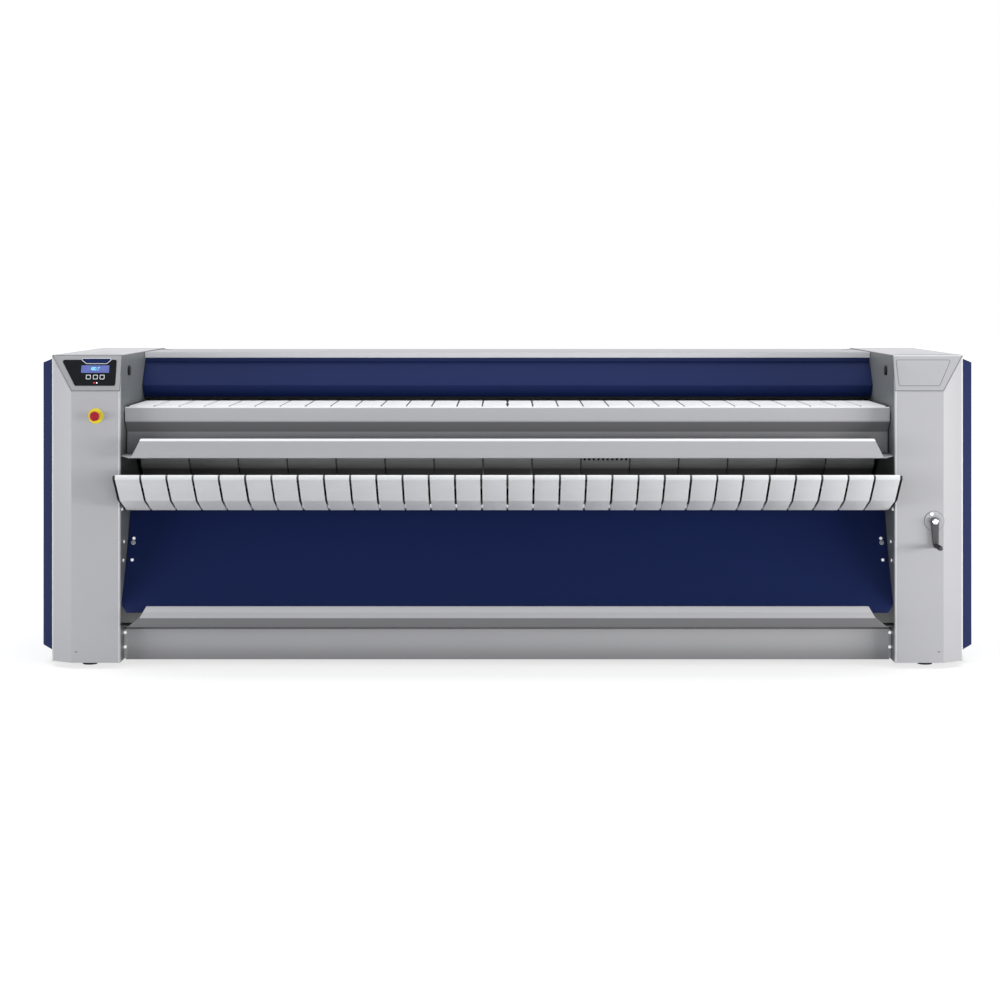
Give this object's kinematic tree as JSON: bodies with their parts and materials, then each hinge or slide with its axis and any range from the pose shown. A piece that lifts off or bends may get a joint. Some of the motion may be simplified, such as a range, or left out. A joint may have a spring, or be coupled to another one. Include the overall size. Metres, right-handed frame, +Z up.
{
  "type": "flatwork ironer",
  "caption": "Wide flatwork ironer: heated cylinder wrapped by ironing belts between two columns, belt feed table above, belt exit conveyor, slope and tray below, hand crank and stop button.",
  "frame": {"origin": "centre of the footprint at floor level, under the levelling feet", "axes": "+X along the cylinder to the operator's right, -Y towards the operator at the front, +Z up"},
  "size_m": [3.9, 1.6065, 1.295],
  "materials": {
    "frame_steel": "satin",
    "silver_paint": "satin",
    "navy_paint": "satin",
    "bright_steel": "brushed",
    "zinc_steel": "matt",
    "white_belt": "matt woven",
    "grey_belt": "matt felt",
    "black_rubber": "matt",
    "black_plastic": "matt",
    "black_glass": "gloss",
    "display": "gloss",
    "yellow_plastic": "gloss",
    "red_plastic": "gloss",
    "dark_paint": "satin",
    "cast_grey": "painted"
  },
  "bodies": {
    "frame": {"left_side_frame": "frame_steel", "right_side_frame": "frame_steel", "left_front_cover": "silver_paint", "right_front_cover": "silver_paint", "column_top_caps": "silver_paint", "column_rear_covers": "silver_paint", "left_side_panel": "navy_paint", "right_side_panel": "navy_paint", "levelling_feet": "black_rubber", "front_base_beam": "silver_paint", "cross_ties": "frame_steel", "upper_guard": "navy_paint", "feed_table_panel": "silver_paint", "feed_bed": "frame_steel", "feed_belts": "white_belt", "upper_shelf": "silver_paint", "exit_bed": "frame_steel", "exit_belts": "white_belt", "slope_panel": "navy_paint", "lower_tray": "silver_paint", "rear_panels": "silver_paint", "ironing_belts": "grey_belt", "cylinder_bearings": "cast_grey", "roller_bearings": "cast_grey", "heating_rack": "zinc_steel", "stripping_fingers": "bright_steel", "temperature_probes": "zinc_steel", "drive_gearmotor": "cast_grey", "drive_belts": "black_rubber", "exhaust_blower": "zinc_steel", "control_box": "silver_paint", "control_glass": "black_glass", "display_screen": "display", "emergency_stop_collar": "yellow_plastic", "entry_sensors": "black_plastic", "crank_rosette": "dark_paint", "screws": "bright_steel", "supply_gland": "black_plastic"},
    "cylinder": {"ironing_cylinder": "bright_steel", "cylinder_pulley": "cast_grey"},
    "motor_pulley": {"motor_pulley": "cast_grey"},
    "nip_roller": {"nip_roller": "bright_steel"},
    "front_return_roller": {"front_return_roller": "bright_steel"},
    "lower_return_roller": {"lower_return_roller": "bright_steel"},
    "tension_roller": {"tension_roller": "bright_steel"},
    "upper_return_roller": {"upper_return_roller": "bright_steel"},
    "feed_front_roller": {"feed_front_roller": "bright_steel"},
    "feed_rear_roller": {"feed_rear_roller": "bright_steel"},
    "exit_nose_roller": {"exit_nose_roller": "bright_steel"},
    "exit_bottom_roller": {"exit_bottom_roller": "bright_steel"},
    "exit_rear_roller": {"exit_rear_roller": "bright_steel"},
    "fan_impeller": {"fan_impeller": "zinc_steel"},
    "finger_guard": {"finger_guard": "dark_paint"},
    "top_cover": {"top_cover": "silver_paint"},
    "left_button": {"left_button": "black_plastic"},
    "middle_button": {"middle_button": "black_plastic"},
    "right_button": {"right_button": "black_plastic"},
    "stop_knob": {"emergency_stop_knob": "red_plastic"},
    "hand_crank": {"hand_crank": "dark_paint"},
    "crank_grip": {"crank_grip": "black_plastic"}
  },
  "joints": [
    {"name": "cylinder_spin", "type": "hinge", "parent": "frame", "child": "cylinder", "pos_m": [0, 0.31725, 0.884], "axis": [-1, 0, 0], "continuous": true},
    {"name": "nip_roller_spin", "type": "hinge", "parent": "frame", "child": "nip_roller", "pos_m": [0, 0.1725, 1.13471], "axis": [-1, 0, 0], "continuous": true},
    {"name": "front_return_roller_spin", "type": "hinge", "parent": "frame", "child": "front_return_roller", "pos_m": [0, -0.07275, 0.844], "axis": [-1, 0, 0], "continuous": true},
    {"name": "lower_return_roller_spin", "type": "hinge", "parent": "frame", "child": "lower_return_roller", "pos_m": [0, 0.59725, 0.354], "axis": [-1, 0, 0], "continuous": true},
    {"name": "tension_roller_spin", "type": "hinge", "parent": "frame", "child": "tension_roller", "pos_m": [0, 0.67025, 0.839], "axis": [-1, 0, 0], "continuous": true},
    {"name": "upper_return_roller_spin", "type": "hinge", "parent": "frame", "child": "upper_return_roller", "pos_m": [0, 0.61725, 1.114], "axis": [-1, 0, 0], "continuous": true},
    {"name": "feed_front_roller_spin", "type": "hinge", "parent": "frame", "child": "feed_front_roller", "pos_m": [0, -0.41675, 1.0555], "axis": [-1, 0, 0], "continuous": true},
    {"name": "feed_rear_roller_spin", "type": "hinge", "parent": "frame", "child": "feed_rear_roller", "pos_m": [0, 0.05925, 1.0555], "axis": [-1, 0, 0], "continuous": true},
    {"name": "exit_nose_roller_spin", "type": "hinge", "parent": "frame", "child": "exit_nose_roller", "pos_m": [0, -0.79175, 0.807], "axis": [-1, 0, 0], "continuous": true},
    {"name": "exit_bottom_roller_spin", "type": "hinge", "parent": "frame", "child": "exit_bottom_roller", "pos_m": [0, -0.50375, 0.673], "axis": [-1, 0, 0], "continuous": true},
    {"name": "exit_rear_roller_spin", "type": "hinge", "parent": "frame", "child": "exit_rear_roller", "pos_m": [0, -0.18275, 0.724], "axis": [-1, 0, 0], "continuous": true},
    {"name": "motor_pulley_spin", "type": "hinge", "parent": "frame", "child": "motor_pulley", "pos_m": [1.678, -0.05275, 0.673], "axis": [-1, 0, 0], "continuous": true},
    {"name": "fan_spin", "type": "hinge", "parent": "frame", "child": "fan_impeller", "pos_m": [-1.692, 0.34725, 0.404], "axis": [1, 0, 0], "continuous": true},
    {"name": "finger_guard_swing", "type": "hinge", "parent": "frame", "child": "finger_guard", "pos_m": [0, 0.09925, 1.11], "axis": [1, 0, 0], "range_deg": [0, 12], "stiffness_Nm_per_rad": 2},
    {"name": "top_cover_lift", "type": "hinge", "parent": "frame", "child": "top_cover", "pos_m": [0, 0.70925, 1.274], "axis": [-1, 0, 0], "range_deg": [0, 75]},
    {"name": "left_button_press", "type": "slide", "parent": "frame", "child": "left_button", "axis": [0, 0.9311, -0.3649], "range_m": [0, 0.0015], "stiffness_N_per_m": 300},
    {"name": "middle_button_press", "type": "slide", "parent": "frame", "child": "middle_button", "axis": [0, 0.9311, -0.3649], "range_m": [0, 0.0015], "stiffness_N_per_m": 300},
    {"name": "right_button_press", "type": "slide", "parent": "frame", "child": "right_button", "axis": [0, 0.9311, -0.3649], "range_m": [0, 0.0015], "stiffness_N_per_m": 300},
    {"name": "stop_press", "type": "slide", "parent": "frame", "child": "stop_knob", "axis": [0, 1, 0], "range_m": [0, 0.004]},
    {"name": "crank_turn", "type": "hinge", "parent": "frame", "child": "hand_crank", "pos_m": [1.763, -0.55275, 0.61], "axis": [0, 1, 0], "continuous": true},
    {"name": "grip_spin", "type": "hinge", "parent": "hand_crank", "child": "crank_grip", "pos_m": [1.767, -0.62275, 0.51], "axis": [0, 1, 0], "continuous": true}
  ],
  "couplings": [
    {"joint": "nip_roller_spin", "follows": "cylinder_spin", "ratio": -5.1383},
    {"joint": "front_return_roller_spin", "follows": "cylinder_spin", "ratio": -4.9794},
    {"joint": "lower_return_roller_spin", "follows": "cylinder_spin", "ratio": -5.75},
    {"joint": "tension_roller_spin", "follows": "cylinder_spin", "ratio": 6.527},
    {"joint": "upper_return_roller_spin", "follows": "cylinder_spin", "ratio": -5.75},
    {"joint": "feed_front_roller_spin", "follows": "cylinder_spin", "ratio": 10.277},
    {"joint": "feed_rear_roller_spin", "follows": "cylinder_spin", "ratio": 10.277},
    {"joint": "exit_nose_roller_spin", "follows": "cylinder_spin", "ratio": -23},
    {"joint": "exit_bottom_roller_spin", "follows": "cylinder_spin", "ratio": -11.233},
    {"joint": "exit_rear_roller_spin", "follows": "cylinder_spin", "ratio": -11.233},
    {"joint": "motor_pulley_spin", "follows": "cylinder_spin", "ratio": 2.901}
  ]
}
